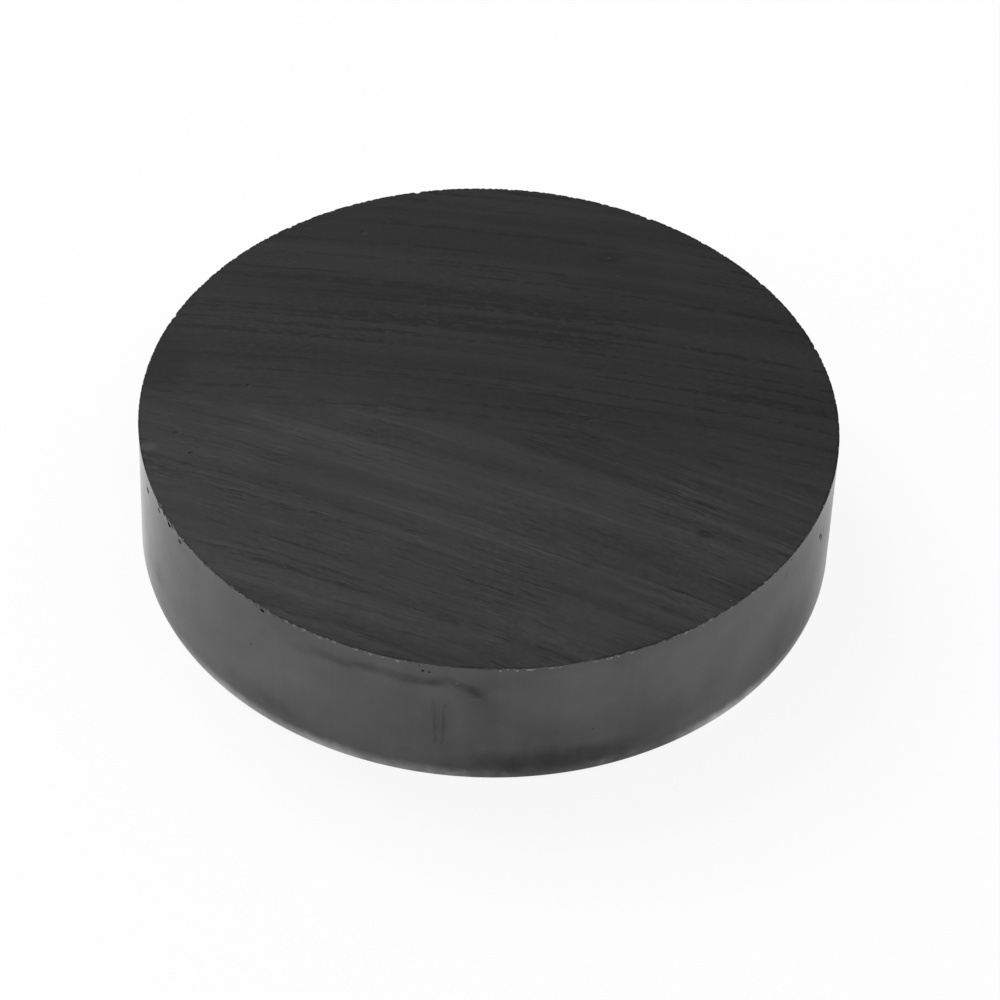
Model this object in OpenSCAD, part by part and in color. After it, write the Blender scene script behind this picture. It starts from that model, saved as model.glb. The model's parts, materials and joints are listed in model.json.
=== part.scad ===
// Hard ferrite disc magnet, pressed and sintered as one piece, then ground flat on its pole faces.
// The origin is the centre of the lower pole face, and +Z runs along the disc's axis.
// Azimuths are degrees about +Z, counted from +X, so that -90 is the side that faces the viewer.

/* [Disc] */
// Diameter of the disc
disc_d = 45; // [25:0.5:80]
// Thickness from pole face to pole face
disc_h = 10; // [7:0.5:25]
// Radius that the press leaves on the edge of the lower face
lower_edge_r = 0.4; // [0.2:0.1:1.5]

/* [Rim chips] */
// Number of small chips that grinding broke off the sharp upper edge
chip_count = 54; // [10:1:90]
// Depth of the smallest of them, measured square to the edge
chip_bite_min = 0.04; // [0.02:0.01:0.1]
// Depth of the largest of them
chip_bite_max = 0.14; // [0.1:0.01:0.3]
// Radius of the hollow that a chip leaves
chip_hollow_r = 0.6; // [0.4:0.05:1.2]
// Seed of the scatter of the small chips
chip_seed = 11; // [1:1:40]

/* [Flake] */
// Azimuth of the shallow flake that grinding tore out of the upper face at its edge
flake_azimuth = -169; // [-180:1:180]
// How far the flake reaches in over the face
flake_reach = 1.1; // [0.6:0.1:3]
// Depth of the flake below the upper face, at the edge
flake_depth = 0.14; // [0.1:0.02:0.4]
// Radius of the hollows that the flake leaves
flake_hollow_r = 0.7; // [0.4:0.05:1.2]

/* [Face pits] */
// Radius of the hollow of a casting pit in the upper face
pit_hollow_r = 0.35; // [0.2:0.05:0.6]
// Depth of a casting pit
pit_depth = 0.12; // [0.05:0.01:0.18]

/* [Press line] */
// Azimuth where the press line starts
press_line_from = -120.5; // [-140:0.5:-110]
// Azimuth where it ends
press_line_to = -89.5; // [-105:0.5:-80]
// Drop of the line below the upper face
press_line_drop = 1.4; // [1:0.05:2.5]
// Radius of the groove along the line
press_groove_r = 0.3; // [0.15:0.05:0.5]
// How far the groove bites into the wall
press_groove_bite = 0.08; // [0.04:0.01:0.14]
// How far the line wanders up and down
press_line_wander = 0.14; // [0:0.02:0.4]
// Degrees of azimuth from one low point of the line to the next
press_line_wave = 13; // [4:0.2:15]
// Azimuth of one of the low points
press_line_low_point = -113; // [-120:1:-100]
// Azimuth where the line begins to sink towards its end
press_line_bend = -95; // [-105:0.5:-85]
// How far it sinks for each degree beyond that
press_line_sink = 0.16; // [0:0.02:0.3]

/* [Draw marks] */
// Azimuth in the middle of the scratches that the die drew down the wall
draw_azimuth = -96; // [-110:1:-80]
// Number of scratches
draw_count = 2; // [1:1:6]
// Spacing of the scratches along the wall
draw_spacing = 0.6; // [0.25:0.01:1]
// Length of the longest scratch
draw_l = 3.8; // [2:0.1:5]
// Distance from the upper face down to the top of the scratches
draw_drop = 3.1; // [2:0.1:3.5]
// Radius of a scratch's groove
draw_groove_r = 0.14; // [0.08:0.01:0.3]
// Depth of a scratch
draw_bite = 0.04; // [0.02:0.01:0.06]

/* [Wall dents] */
// Radius of the hollow of a dent in the wall
dent_hollow_r = 0.25; // [0.2:0.05:0.6]
// Depth of a dent
dent_depth = 0.1; // [0.05:0.01:0.18]

/* [Hidden] */
$fn = 96;
disc_r = disc_d / 2;
ferrite_grey = [0.22, 0.22, 0.22];

// Larger nicks in the upper edge: azimuth, and depth as a multiple of the largest small chip's
NICKS = [
    [-156, 1.2], [-152, 1.5], [-148, 1.1], [-129.5, 1.2], [-127, 1.6], [-123.5, 1.3],
    [-120.5, 1], [-118.5, 1.2], [-116, 1.5], [-113.5, 1.4], [-110, 1.2], [-108.5, 1.1],
    [-105, 1], [-103, 1.6], [-99.5, 1.4], [-96, 1.1], [-93.5, 1.2], [-82.5, 1.2],
    [-78, 1.4], [-72, 1.2], [-69, 1.4], [-65.5, 1.1], [-56.5, 1.3], [-52.5, 1.2],
    [-46, 1], [20, 1.2], [38, 1], [63, 1.4], [88, 1], [104, 1.5], [128, 1.2], [158, 1.6],
];

// Pits in the upper face: azimuth, distance from the axis as a share of the radius, and relative depth
PITS = [
    [117, 0.87, 1], [132, 0.46, 1], [173, 0.7, 1.2], [188, 0.9, 0.8], [194, 0.86, 1],
    [0, 0.28, 1.3], [-36, 0.76, 1.1], [-64, 0.53, 0.7], [65, 0.78, 1], [60, 0.72, 0.8],
];

// Dents in the wall: azimuth, and drop below the upper face
DENTS = [
    [-162, 1.3], [-151.5, 0.35], [-147.5, 0.5], [-126.5, 0.35], [-99, 0.6], [-98, 0.6],
    [-130, 3.8], [-19, 2.6], [-18.5, 3],
];

// The pressed and ground blank: a cylinder whose lower edge is rounded
module blank() {
    rotate_extrude() {
        translate([0, lower_edge_r]) square([disc_r, disc_h - lower_edge_r]);
        square([disc_r - lower_edge_r, lower_edge_r]);
        translate([disc_r - lower_edge_r, lower_edge_r]) intersection() {
            circle(r = lower_edge_r);
            translate([0, -lower_edge_r]) square(lower_edge_r);
        }
    }
}

// Puts a cutter, drawn around its own origin, at an azimuth, distance from the axis and height
module place(azimuth, dist, z) {
    rotate([0, 0, azimuth]) translate([dist, 0, z]) children();
}

// A hollow broken out of the upper edge, as deep as bite across the corner
module edge_hollow(azimuth, bite, hollow_r) {
    out = (hollow_r - bite) / sqrt(2);
    place(azimuth, disc_r + out, disc_h + out) sphere(r = hollow_r);
}

// The many small chips, scattered evenly with a random shift, and the larger nicks.
// A random number squared makes small chips common and large ones rare.
module rim_chips() {
    pitch = 360 / chip_count;
    largest_shift = 0.45;
    shift = rands(-largest_shift, largest_shift, chip_count, chip_seed);
    size = rands(0, 1, chip_count, chip_seed + 1);
    for (i = [0 : chip_count - 1])
        edge_hollow(
            (i + shift[i]) * pitch,
            chip_bite_min + (chip_bite_max - chip_bite_min) * pow(size[i], 2),
            chip_hollow_r
        );
    for (nick = NICKS)
        edge_hollow(nick[0], nick[1] * chip_bite_max, chip_hollow_r);
}

// A shallow flake: hollows in a row from the edge inwards, shallower with each one
module flake() {
    steps = 3;
    depth_lost = 0.6;
    for (i = [0 : steps]) {
        share = i / steps;
        dist = disc_r - share * (flake_reach - flake_hollow_r / 2);
        depth = flake_depth * (1 - depth_lost * share);
        place(flake_azimuth, dist, disc_h + flake_hollow_r - depth) sphere(r = flake_hollow_r);
    }
}

// Open pores in the ground face
module face_pits() {
    for (pit = PITS)
        place(pit[0], pit[1] * disc_r, disc_h + pit_hollow_r - pit_depth * pit[2])
            sphere(r = pit_hollow_r);
}

// Height of the press line at an azimuth: a wave along the wall that sinks at its end
function press_line_z(azimuth) =
    disc_h - press_line_drop
    - press_line_wander * cos(360 * (azimuth - press_line_low_point) / press_line_wave)
    - press_line_sink * max(0, azimuth - press_line_bend);

// A shallow groove along that line, where the powder folded against the die.
// It is cut in short level steps that overlap, and tapers out at both ends.
module press_line() {
    steps = 36;
    overlap = 1.3;
    step_angle = (press_line_to - press_line_from) / steps;
    for (i = [0 : steps - 1]) {
        share = (i + 0.5) / steps;
        bite = press_groove_bite * sqrt(sin(share * 180));
        azimuth = press_line_from + i * step_angle;
        rotate([0, 0, azimuth])
            rotate_extrude(angle = step_angle * overlap)
                translate([disc_r + press_groove_r - bite, press_line_z(azimuth + step_angle / 2)])
                    circle(r = press_groove_r);
    }
}

// Upright scratches in the wall, each a little shorter the further it lies from the middle
module draw_marks() {
    middle = (draw_count - 1) / 2;
    length_lost = 0.12;
    for (i = [0 : draw_count - 1]) {
        length = draw_l * (1 - length_lost * abs(i - middle));
        azimuth = draw_azimuth + (i - middle) * draw_spacing / disc_r * 180 / PI;
        place(azimuth, disc_r + draw_groove_r - draw_bite, disc_h - draw_drop - length)
            cylinder(r = draw_groove_r, h = length);
    }
}

// Small dents in the wall
module wall_dents() {
    for (dent = DENTS)
        place(dent[0], disc_r + dent_hollow_r - dent_depth, disc_h - dent[1])
            sphere(r = dent_hollow_r);
}

module disc_magnet() {
    color(ferrite_grey) difference() {
        blank();
        rim_chips();
        flake();
        face_pits();
        press_line();
        draw_marks();
        wall_dents();
    }
}

disc_magnet();
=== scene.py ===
# %% [markdown]
# # A ferrite disc magnet
#
# The real object is one piece. Iron oxide and strontium carbonate powder is pressed in a die,
# fired until it sinters to a dark ceramic, and then its two pole faces are ground flat.
# So a single mesh carries all its finishes: the ground faces, the side as it left the kiln, the raw
# fracture in the small chips that grinding broke off the edge, and the dark inside of open pores.
#
# The construction model already fixes the size. This lesson builds a finer mesh on top of it,
# and takes every large dimension from that frame.

# %% Load the frame
import json
import math
import random
from collections import namedtuple

import bmesh
import bpy
from mathutils import Matrix, Quaternion, Vector


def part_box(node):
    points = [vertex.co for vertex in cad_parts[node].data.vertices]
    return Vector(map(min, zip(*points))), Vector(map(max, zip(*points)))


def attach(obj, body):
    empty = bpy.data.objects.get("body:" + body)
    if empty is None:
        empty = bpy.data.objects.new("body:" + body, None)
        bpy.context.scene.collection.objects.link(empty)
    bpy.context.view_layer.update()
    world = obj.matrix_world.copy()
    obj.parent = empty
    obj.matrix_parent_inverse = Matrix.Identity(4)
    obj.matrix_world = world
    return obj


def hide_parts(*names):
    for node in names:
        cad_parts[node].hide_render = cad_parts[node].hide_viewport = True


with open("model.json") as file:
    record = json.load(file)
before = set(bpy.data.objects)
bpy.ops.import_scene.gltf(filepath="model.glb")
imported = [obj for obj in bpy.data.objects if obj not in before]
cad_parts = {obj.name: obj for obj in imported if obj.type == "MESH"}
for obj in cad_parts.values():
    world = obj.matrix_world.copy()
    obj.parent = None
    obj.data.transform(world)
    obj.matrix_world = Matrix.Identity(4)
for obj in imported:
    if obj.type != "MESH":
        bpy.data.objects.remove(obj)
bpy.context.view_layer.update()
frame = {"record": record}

# %% [markdown]
# ## Dimensions
#
# Blender works in metres, and a maker of magnets thinks in millimetres. One constant turns the one
# into the other. Radius and thickness are read from the frame. The side's straight length is the
# length of the mount called rim, so what is left of the thickness is the radius of the lower edge.
# A hair is the distance below which two places count as the same one.

# %% Dimensions of the disc
MM = 0.001
HAIR = 0.001 * MM
lowest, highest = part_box("disc_magnet")
disc_r = (highest.x - lowest.x) / 2
disc_h = highest.z - lowest.z
rim_mount = next(m for m in frame["record"]["mounts"] if m["name"] == "rim")
lower_edge_r = disc_h - rim_mount["dims"]["length_mm"] * MM
print(f"radius {disc_r / MM:.2f} mm, thickness {disc_h / MM:.2f} mm, lower edge {lower_edge_r / MM:.2f} mm")

# %% [markdown]
# ## Camera
#
# A long lens far from the disc gives a calm perspective. The camera stands in front of the disc and
# looks down on it. It aims a little in front of the middle, and leans by two degrees, so that the
# disc's right side lies lower in the frame.

# %% Camera
CAMERA_DISTANCE = 12.734 * disc_r
CAMERA_ELEVATION = math.radians(43.125)
CAMERA_LEAN = math.radians(2.372)
CAMERA_LENS_MM = 160.6
AIM_TO_THE_RIGHT = 0.0397 * disc_r
AIM_TO_THE_FRONT = 0.1161 * disc_r
NEAREST_SEEN = disc_r / 10
FARTHEST_SEEN = 200 * disc_r
face_centre = Vector((0, 0, disc_h))
aim = Vector((AIM_TO_THE_RIGHT, -AIM_TO_THE_FRONT, disc_h / 2))

toward_camera = Vector((0, -math.cos(CAMERA_ELEVATION), math.sin(CAMERA_ELEVATION)))
camera = bpy.data.objects.new("camera", bpy.data.cameras.new("camera"))
bpy.context.scene.collection.objects.link(camera)
bpy.context.scene.camera = camera
camera.data.lens = CAMERA_LENS_MM
camera.data.clip_start = NEAREST_SEEN
camera.data.clip_end = FARTHEST_SEEN
camera.location = face_centre + CAMERA_DISTANCE * toward_camera
camera.rotation_mode = "QUATERNION"
level_view = (aim - camera.location).to_track_quat("-Z", "Y")
camera.rotation_quaternion = level_view @ Quaternion((0, 0, 1), CAMERA_LEAN)
print(f"camera {CAMERA_DISTANCE / MM:.0f} mm from the middle of the upper face")

# %% [markdown]
# ## Selecting by place
#
# By hand one would click on edges and faces. A script picks them by where they are. These two
# helpers open a piece in edit mode with nothing selected, and then select every vertex, edge or
# face that passes a test.

# %% Helpers for edit mode
def open_for_edit(piece, select_mode):
    bpy.ops.object.select_all(action="DESELECT")
    bpy.context.view_layer.objects.active = piece
    piece.select_set(True)
    bpy.ops.object.mode_set(mode="EDIT")
    bpy.ops.mesh.select_mode(type=select_mode)
    bpy.ops.mesh.select_all(action="DESELECT")


def select_where(piece, elements, test):
    mesh = bmesh.from_edit_mesh(piece.data)
    for element in getattr(mesh, elements):
        if test(element):
            element.select_set(True)
    bmesh.update_edit_mesh(piece.data)


def close_edit():
    bpy.ops.object.mode_set(mode="OBJECT")


# %% [markdown]
# ## The blank
#
# The blank could be a lathe profile spun round the axis. A cylinder is quicker and its caps are
# already closed. It gets enough segments that no flat shows on its outline, and then its lower edge
# is rounded by a bevel, as the press leaves it: a profile of one half gives a quarter of a circle.
# The upper edge stays sharp, because the grinding wheel cut through it.

# %% Blank with a rounded lower edge
SIDE_SEGMENTS = 1280
LOWER_EDGE_STEPS = 6

bpy.ops.object.select_all(action="DESELECT")
bpy.ops.mesh.primitive_cylinder_add(
    vertices=SIDE_SEGMENTS,
    radius=disc_r,
    depth=disc_h,
    end_fill_type="NGON",
    location=(0, 0, disc_h / 2),
)
disc = bpy.context.object
disc.name = "ferrite_disc"
bpy.ops.object.transform_apply(location=True, rotation=False, scale=False)

open_for_edit(disc, "EDGE")
select_where(disc, "edges", lambda e: all(v.co.z < HAIR for v in e.verts))
bpy.ops.mesh.bevel(
    offset=lower_edge_r,
    offset_type="OFFSET",
    segments=LOWER_EDGE_STEPS,
    profile=0.5,
    affect="EDGES",
)
close_edit()
print(f"blank: {len(disc.data.polygons)} faces")

# %% [markdown]
# ## Rings on the side
#
# The side is still one row of tall faces, and a tall face can't carry a shallow mark. Subdividing
# its upright edges lays rings round it. The finest marks lie close below the upper edge, so a
# first ring is slid up to part off a collar there, and the collar gets its rings much closer.

# %% Rings: close in the collar, wide below it
COLLAR_H = 2.8 * MM
COLLAR_RINGS = 27
SKIRT_RINGS = 14
collar_z = disc_h - COLLAR_H


def is_upright(edge):
    a, b = (vertex.co for vertex in edge.verts)
    return (a.xy - b.xy).length < HAIR and abs(a.z - b.z) > HAIR


def ring_the_side(lower_z, upper_z, rings):
    open_for_edit(disc, "EDGE")
    select_where(
        disc,
        "edges",
        lambda e: is_upright(e) and all(lower_z - HAIR < v.co.z < upper_z + HAIR for v in e.verts),
    )
    bpy.ops.mesh.subdivide(number_cuts=rings)
    close_edit()


ring_the_side(lower_edge_r, disc_h, 1)
first_ring_z = (lower_edge_r + disc_h) / 2
open_for_edit(disc, "VERT")
select_where(disc, "verts", lambda v: abs(v.co.z - first_ring_z) < HAIR)
bpy.ops.transform.translate(value=(0, 0, collar_z - first_ring_z))
close_edit()
ring_the_side(collar_z, disc_h, COLLAR_RINGS)
ring_the_side(lower_edge_r, collar_z, SKIRT_RINGS)
print(f"side: rings every {COLLAR_H / (COLLAR_RINGS + 1) / MM:.2f} mm in the collar")

# %% [markdown]
# ## Five finishes on one mesh
#
# The finish follows from how each surface was made, so the faces are sorted by their direction
# before anything is cut: what looks up or down was ground, and the rest, with the rounded lower edge,
# is as it left the kiln. Two slots wait for the chips and the pores, because a cut takes its slot
# from the cutter.

# %% Material slots, and which face gets which
SIDE, UPPER_FACE, LOWER_FACE, FRACTURE, PORE_AND_SHADE = range(5)
FINISH_NAMES = ("as_sintered_side", "ground_upper_face", "ground_lower_face", "fracture", "open_pore")
NEARLY_LEVEL = 0.99
finishes = [bpy.data.materials.new(name) for name in FINISH_NAMES]
for finish in finishes:
    finish.use_nodes = True
    disc.data.materials.append(finish)

for face in disc.data.polygons:
    if face.normal.z > NEARLY_LEVEL:
        face.material_index = UPPER_FACE
    elif face.normal.z < -NEARLY_LEVEL and face.center.z < HAIR:
        face.material_index = LOWER_FACE
    else:
        face.material_index = SIDE
for slot, finish in enumerate(finishes):
    faces = sum(face.material_index == slot for face in disc.data.polygons)
    print(f"{finish.name}: {faces} faces")

# %% [markdown]
# ## Soft marks pressed into the side
#
# A crease or a dent with soft flanks could be sculpted. In a script the same is done with a vertex
# group, which is a painted weight for every vertex, and a Displace modifier that pushes each
# vertex in by its weight. The weight comes from where the vertex lies on the side: its azimuth
# about the axis, in degrees from +X, and its drop below the upper face, in millimetres.

# %% Helper that presses a mark in
FAINTEST_WEIGHT = 0.01


def place_on_side(position):
    azimuth = math.degrees(math.atan2(position.y, position.x))
    drop = (disc_h - position.z) / MM
    return azimuth, drop


def press_in(name, depth, weight_at):
    group = disc.vertex_groups.new(name=name)
    marked = 0
    for vertex in disc.data.vertices:
        if not lower_edge_r - HAIR < vertex.co.z < disc_h - HAIR:
            continue
        weight = weight_at(*place_on_side(vertex.co))
        if weight > FAINTEST_WEIGHT:
            group.add([vertex.index], min(weight, 1), "REPLACE")
            marked += 1
    modifier = disc.modifiers.new(name, "DISPLACE")
    modifier.vertex_group = name
    modifier.mid_level = 0
    modifier.strength = -depth
    bpy.context.view_layer.objects.active = disc
    bpy.ops.object.modifier_apply(modifier=name)
    print(f"{name}: {marked} vertices pressed in by up to {depth / MM:.2f} mm")


def bell(distance, half_width):
    return math.exp(-((distance / half_width) ** 2))


# %% [markdown]
# ## The press line
#
# Powder folded against the wall of the die a little below the punch, and left a wandering crease
# round part of the collar. The skin just below the fold lies a little further in than the collar
# above it, so the weight falls off slowly below the line and fast above it. The line's drop is a
# wave along the side that sinks at one end.

# %% Press line
PRESS_LINE_FROM = -120.5
PRESS_LINE_TO = -89.5
PRESS_LINE_DROP = 1.4
PRESS_LINE_WANDER = 0.14
PRESS_LINE_LOW_POINT = -113
PRESS_LINE_WAVE = 13
PRESS_LINE_BEND = -95
PRESS_LINE_SINK = 0.16
PRESS_LINE_HALF_WIDTH = 0.3
PRESS_LINE_DEPTH = 0.03 * MM
STEP_SHARE = 0.35
STEP_FADE = 0.9


def press_line_drop(azimuth):
    swing = math.cos(math.radians(360 * (azimuth - PRESS_LINE_LOW_POINT) / PRESS_LINE_WAVE))
    sunk = max(0, azimuth - PRESS_LINE_BEND) * PRESS_LINE_SINK
    return PRESS_LINE_DROP + PRESS_LINE_WANDER * swing + sunk


def press_line_weight(azimuth, drop):
    share = (azimuth - PRESS_LINE_FROM) / (PRESS_LINE_TO - PRESS_LINE_FROM)
    if not 0 < share < 1:
        return 0
    below = drop - press_line_drop(azimuth)
    fade_at_ends = math.sqrt(math.sin(math.pi * share))
    step = STEP_SHARE * math.exp(-below / STEP_FADE) if below > 0 else 0
    return fade_at_ends * max(bell(below, PRESS_LINE_HALF_WIDTH), step)


press_in("press_line", PRESS_LINE_DEPTH, press_line_weight)

# %% [markdown]
# ## A side that is never quite true
#
# Firing shrinks the disc a good deal, and not quite evenly. A Displace modifier with a cloud
# texture gives that: its strength is a few hundredths of a millimetre, and with the middle
# level at 1 it only ever moves the side inwards, so the disc keeps its size. The weight fades out
# in a calm band below the sharp edge, and over the rounded lower edge.

# %% Waviness from firing
WAVE_SIZE = 4 * MM
WAVE_DEPTH = 0.03 * MM
CALM_BAND = 0.6 * MM
fired_side = disc.vertex_groups.new(name="fired_side")
for vertex in disc.data.vertices:
    if vertex.co.z < disc_h - HAIR:
        off_the_top = min(1, (disc_h - vertex.co.z) / CALM_BAND)
        off_the_foot = min(1, vertex.co.z / lower_edge_r)
        fired_side.add([vertex.index], off_the_top * off_the_foot, "REPLACE")

clouds = bpy.data.textures.new("firing_waves", "CLOUDS")
clouds.noise_scale = WAVE_SIZE
clouds.noise_depth = 2
waves = disc.modifiers.new("firing_waves", "DISPLACE")
waves.texture = clouds
waves.texture_coords = "LOCAL"
waves.vertex_group = "fired_side"
waves.mid_level = 1
waves.strength = WAVE_DEPTH
bpy.ops.object.modifier_apply(modifier="firing_waves")
print(f"side waved by up to {WAVE_DEPTH / MM:.2f} mm")

# %% [markdown]
# ## Chips: one rough pebble, copied
#
# Ceramic breaks in small scoops. A scoop is what is left when a rough pebble is cut away, so three
# pebbles are modelled once, each an icosphere with its vertices shaken, and every chip, pit and
# dent below is a copy of one of them, turned at random and stretched to the size of the scoop.
# A fourth one is finer and nearly smooth, for the one large flake, which broke off like glass.

# %% Three rough pebbles and a smooth one
PEBBLE_SHAKE = 0.1
SMOOTH_SHAKE = 0.012


def give_finish(cutter, slot):
    if not cutter.data.materials:
        for finish in finishes:
            cutter.data.materials.append(finish)
    cutter.data.polygons.foreach_set("material_index", [slot] * len(cutter.data.polygons))


def make_pebble(seed, subdivisions=2, shake=PEBBLE_SHAKE):
    bpy.ops.object.select_all(action="DESELECT")
    bpy.ops.mesh.primitive_ico_sphere_add(subdivisions=subdivisions, radius=1)
    pebble = bpy.context.object
    pebble.name = f"pebble_{seed}"
    open_for_edit(pebble, "VERT")
    bpy.ops.mesh.select_all(action="SELECT")
    bpy.ops.transform.vertex_random(offset=shake, uniform=0, normal=0, seed=seed)
    close_edit()
    return pebble


pebbles = [make_pebble(seed) for seed in (1, 2, 3)]
smooth_pebble = make_pebble(4, subdivisions=4, shake=SMOOTH_SHAKE)
print(f"pebbles of {len(pebbles[0].data.polygons)} and {len(smooth_pebble.data.polygons)} faces")

# %% [markdown]
# ## Placing a scoop
#
# A scoop on the edge is given by what one would measure on the disc: how far it reaches over the
# face, how wide it is along the edge, and how far it drops down the side. The pebble's middle lies
# outside the corner by a fixed share of its radius, and the formulas turn the three measures
# into the pebble's three radii. A scoop in a flat place works the same way with one surface.

# %% Helpers that place a pebble
OUTSIDE_SHARE = 0.3
FACE_SHARE = math.sqrt(1 - OUTSIDE_SHARE**2) - OUTSIDE_SHARE
EDGE_SHARE = math.sqrt(1 - 2 * OUTSIDE_SHARE**2)
FLAT_SHARE = math.sqrt(1 - OUTSIDE_SHARE**2)
draw = random.Random(7)


def pebble_at(azimuth, outward, up, radii, slot, pebble=None):
    pebble = pebble or draw.choice(pebbles)
    tumble = Quaternion([draw.gauss(0, 1) for _ in range(4)]).normalized()
    place = (
        Matrix.Rotation(math.radians(azimuth), 4, "Z")
        @ Matrix.Translation((outward, 0, up))
        @ Matrix.Diagonal((*radii, 1))
        @ tumble.to_matrix().to_4x4()
    )
    copy = pebble.copy()
    copy.data = pebble.data.copy()
    copy.data.transform(place)
    give_finish(copy, slot)
    bpy.context.scene.collection.objects.link(copy)
    return copy


def edge_chip(azimuth, reach, width, drop, slot=FRACTURE, pebble=None):
    radii = [size * MM for size in (reach / FACE_SHARE, width / 2 / EDGE_SHARE, drop / FACE_SHARE)]
    outward = disc_r + OUTSIDE_SHARE * radii[0]
    return pebble_at(azimuth, outward, disc_h + OUTSIDE_SHARE * radii[2], radii, slot, pebble)


def face_pit(azimuth, distance, across, along, depth, slot=PORE_AND_SHADE):
    radii = [across / 2 / FLAT_SHARE, along / 2 / FLAT_SHARE, depth / (1 - OUTSIDE_SHARE)]
    radii = [size * MM for size in radii]
    return pebble_at(azimuth, distance, disc_h + OUTSIDE_SHARE * radii[2], radii, slot)


def side_dent(azimuth, drop, width, height, depth):
    radii = [depth / (1 - OUTSIDE_SHARE), width / 2 / FLAT_SHARE, height / 2 / FLAT_SHARE]
    radii = [size * MM for size in radii]
    return pebble_at(azimuth, disc_r + OUTSIDE_SHARE * radii[0], disc_h - drop * MM, radii, PORE_AND_SHADE)


# %% [markdown]
# ## The small chips of the whole edge
#
# Grinding leaves a row of tiny chips all round the sharp edge, most of them a few hundredths of a
# millimetre deep, and here and there a bigger one. Squaring a random number makes small ones common
# and big ones rare.

# %% Tiny chips all round
TINY_CHIPS = 420
TINY_SHIFT = 0.6
TINY_REACH_MIN = 0.02
TINY_REACH_GAIN = 0.05
TINY_WIDTH_MIN = 0.1
TINY_WIDTH_GAIN = 0.3
TINY_DROP_SHARES = (0.8, 2)
FRESH_SHARE = 0.3
tiny_chips = []
for index in range(TINY_CHIPS):
    size = draw.random() ** 2
    azimuth = (index + draw.uniform(-TINY_SHIFT, TINY_SHIFT)) * 360 / TINY_CHIPS
    reach = TINY_REACH_MIN + TINY_REACH_GAIN * size
    width = TINY_WIDTH_MIN + TINY_WIDTH_GAIN * size
    slot = FRACTURE if draw.random() < FRESH_SHARE else SIDE
    drop = reach * draw.uniform(*TINY_DROP_SHARES)
    tiny_chips.append(edge_chip(azimuth, reach, width, drop, slot))
print(f"{len(tiny_chips)} tiny chips")

# %% [markdown]
# ## The chips that one can see
#
# The larger nicks sit at their own places: close together along the front left of the edge, and
# sparser elsewhere. Each is cut twice. A wide shallow scoop in the pore's dark grey leaves a dark lip
# on the face side, which paints the shade in the steep upper part of the chip, and a smaller one
# below it drops further down the side. Its facet is either a fresh fracture or as dull as the side,
# and a few slivers on the face side have no facet at all.

# %% Nicks in the edge: azimuth, width, reach over the face, finish of the facet
NICKS = [
    (-156, 0.4, 0.12, SIDE), (-152, 0.5, 0.15, SIDE), (-148, 0.4, 0.12, SIDE), (-140, 0.4, 0.15, SIDE),
    (-137.1, 0.25, 0.1, FRACTURE), (-133.6, 0.8, 0.22, SIDE), (-132.4, 0.25, 0.1, FRACTURE),
    (-131.4, 0.4, 0.18, FRACTURE), (-129.5, 0.65, 0.22, FRACTURE), (-126.8, 0.9, 0.25, SIDE),
    (-124.3, 0.5, 0.18, SIDE), (-122.8, 0.5, 0.16, SIDE), (-120.7, 0.45, 0.2, FRACTURE),
    (-118.9, 0.65, 0.28, FRACTURE), (-116, 0.8, 0.1, FRACTURE), (-113.5, 0.6, 0.25, FRACTURE),
    (-109.8, 0.6, 0.2, FRACTURE), (-107.3, 0.5, 0.15, FRACTURE), (-105.2, 0.4, 0.1, FRACTURE),
    (-102.9, 0.6, 0.1, FRACTURE), (-100.8, 0.3, 0.12, SIDE), (-96, 0.5, 0.14, None),
    (-93.8, 0.6, 0.14, None), (-88.8, 0.9, 0.15, None), (-86.7, 0.5, 0.06, FRACTURE),
    (-84.2, 0.5, 0.06, FRACTURE), (-82.1, 1, 0.08, FRACTURE), (-78.6, 0.8, 0.08, FRACTURE),
    (-77.4, 0.5, 0.06, FRACTURE), (-71.8, 0.6, 0.08, FRACTURE), (-69.5, 0.8, 0.1, FRACTURE),
    (-68, 0.3, 0.08, FRACTURE), (-65.6, 0.6, 0.12, FRACTURE), (-56.1, 0.6, 0.12, FRACTURE),
    (-52.6, 0.5, 0.1, FRACTURE), (-46, 0.35, 0.1, SIDE), (20, 0.5, 0.15, FRACTURE), (38, 0.3, 0.1, SIDE),
    (63, 0.5, 0.15, FRACTURE), (88, 0.3, 0.1, SIDE), (104, 0.5, 0.15, FRACTURE), (128, 0.4, 0.12, SIDE),
    (158, 0.5, 0.15, SIDE),
]
LIP_DROP = 0.1
SLIVER_DROP = 0.05
FACET_REACH_SHARE = 0.5
FACET_WIDTH_SHARE = 0.75
FACET_DROPS = (0.22, 0.34)
# The lips take the pore's dark grey as painted shade.
lips = [
    edge_chip(azimuth, reach, width, SLIVER_DROP if finish is None else LIP_DROP, PORE_AND_SHADE)
    for azimuth, width, reach, finish in NICKS
]
facets = [
    edge_chip(
        azimuth,
        FACET_REACH_SHARE * reach,
        FACET_WIDTH_SHARE * width,
        draw.uniform(*FACET_DROPS),
        finish,
    )
    for azimuth, width, reach, finish in NICKS
    if finish is not None
]
print(f"{len(lips)} nicks, {len(facets)} with a facet")

# %% [markdown]
# ## The flake
#
# At the far left a thin flake, about a millimetre long, broke out of the face. It is one wide and very
# shallow scoop with a smooth hollow. Its tilt, and two pale patches in the face's finish further
# down, set it off from the face round it: the patches paint the highlight that the tilted flake
# catches. A dark crack runs along one side of it, and at the other a small hollow in the pore's dark
# grey paints the shadow below the flake.

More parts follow.
